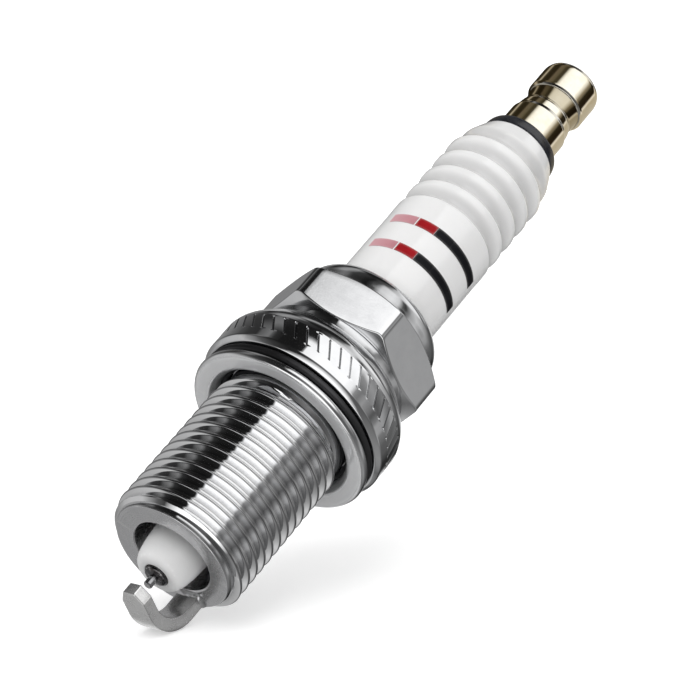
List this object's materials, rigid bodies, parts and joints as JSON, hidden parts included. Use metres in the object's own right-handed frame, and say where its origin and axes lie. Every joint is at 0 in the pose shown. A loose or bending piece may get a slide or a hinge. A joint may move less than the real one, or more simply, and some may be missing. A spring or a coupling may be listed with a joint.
{
  "type": "spark plug",
  "caption": "Spark plug with a helical long-reach thread, captive folded gasket, hexagon shell, ribbed ceramic insulator, screw-off terminal nut and J-shaped ground strap.",
  "frame": {"origin": "on the axis, on the sealing face of the uncompressed seat gasket", "axes": "+Z along the axis from the firing end to the terminal, the ground electrode's upright leg stands 17.6 degrees round from +X"},
  "size_m": [0.0197, 0.0196, 0.077],
  "materials": {
    "plated_shell": "polished nickel plate, satin on the firing-end face",
    "gasket_steel": "bright rolled strip",
    "ceramic": "white glaze",
    "ink_black": "fired black ink",
    "ink_red": "fired red ink",
    "ink_pale": "fired pale red ink",
    "seal_black": "satin black",
    "terminal_plate": "polished pale nickel brass",
    "stud_steel": "zinc plated",
    "seal_glass": "opaque copper-filled glass",
    "resistor_body": "matt carbon-filled ceramic",
    "nickel_alloy": "dark satin nickel alloy",
    "copper": "copper",
    "precious_tip": "fine ground",
    "strap_nickel": "satin drawn nickel",
    "packing_steel": "soft steel wire",
    "talc": "pressed powder"
  },
  "bodies": {
    "plug_body": {"shell": "plated_shell", "insulator": "ceramic", "label_black": "ink_black", "label_red": "ink_red", "label_pale": "ink_pale", "terminal_stud": "stud_steel", "upper_glass_seal": "seal_glass", "suppressor_resistor": "resistor_body", "lower_glass_seal": "seal_glass", "center_electrode": "nickel_alloy", "center_electrode_core": "copper", "firing_pin": "precious_tip", "insulator_seat_washer": "packing_steel", "packing_ring_lower": "packing_steel", "talc_packing": "talc", "packing_ring_upper": "packing_steel", "ground_electrode": "strap_nickel"},
    "gasket": {"seat_gasket": "gasket_steel"},
    "seal_ring": {"terminal_seal_ring": "seal_black"},
    "nut": {"terminal_nut": "terminal_plate"}
  },
  "joints": [
    {"name": "gasket_float", "type": "slide", "parent": "plug_body", "child": "gasket", "axis": [0, 0, -1], "range_m": [0, 0.0009]},
    {"name": "nut_turn", "type": "hinge", "parent": "plug_body", "child": "seal_ring", "pos_m": [0, 0, 0.0433], "axis": [0, 0, 1], "range_deg": [0, 4320]},
    {"name": "nut_climb", "type": "slide", "parent": "seal_ring", "child": "nut", "axis": [0, 0, 1], "range_m": [0, 0.0084]}
  ],
  "couplings": [
    {"joint": "nut_climb", "follows": "nut_turn", "m_per_rad": 0.00011141}
  ]
}
